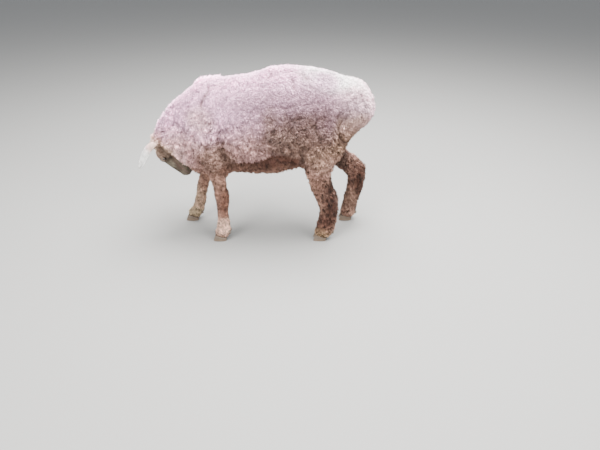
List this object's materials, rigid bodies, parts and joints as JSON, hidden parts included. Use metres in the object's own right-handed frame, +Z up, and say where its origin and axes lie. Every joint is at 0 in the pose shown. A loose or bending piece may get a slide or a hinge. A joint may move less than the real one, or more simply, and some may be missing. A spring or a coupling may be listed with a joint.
{
  "type": "shorn fat-rumped sheep",
  "caption": "Life-size shorn fat-rumped sheep with hanging ears, standing in mid-stride with its head tucked down to its breast.",
  "frame": {"origin": "on the floor, under the middle of the whole animal", "axes": "+Z up; the sheep faces -X, and its left side is towards -Y"},
  "size_m": [1.0408, 0.3758, 0.7887],
  "materials": {
    "fleece": "close-shorn matt wool, pinkish grey above and beige to brown below",
    "face_hair": "short grey-brown hair, with curly wool on the poll and cheek",
    "white_hair": "short smooth white hair",
    "leg_hair": "short pinkish brown hair with red-brown patches",
    "eye": "wet and glossy",
    "horn": "dull grey-brown horn"
  },
  "bodies": {
    "root": {"head": "face_hair", "neck": "fleece", "trunk": "fleece", "rump": "fleece", "leg_fore_left": "leg_hair", "leg_fore_right": "leg_hair", "leg_hind_left": "leg_hair", "leg_hind_right": "leg_hair", "ear_left": "white_hair", "eye_left": "eye", "ear_right": "white_hair", "eye_right": "eye", "claw_fore_left_inner": "horn", "dewclaw_fore_left_inner": "horn", "claw_fore_left_outer": "horn", "dewclaw_fore_left_outer": "horn", "claw_fore_right_inner": "horn", "dewclaw_fore_right_inner": "horn", "claw_fore_right_outer": "horn", "dewclaw_fore_right_outer": "horn", "claw_hind_left_inner": "horn", "dewclaw_hind_left_inner": "horn", "claw_hind_left_outer": "horn", "dewclaw_hind_left_outer": "horn", "claw_hind_right_inner": "horn", "dewclaw_hind_right_inner": "horn", "claw_hind_right_outer": "horn", "dewclaw_hind_right_outer": "horn"}
  },
  "joints": []
}
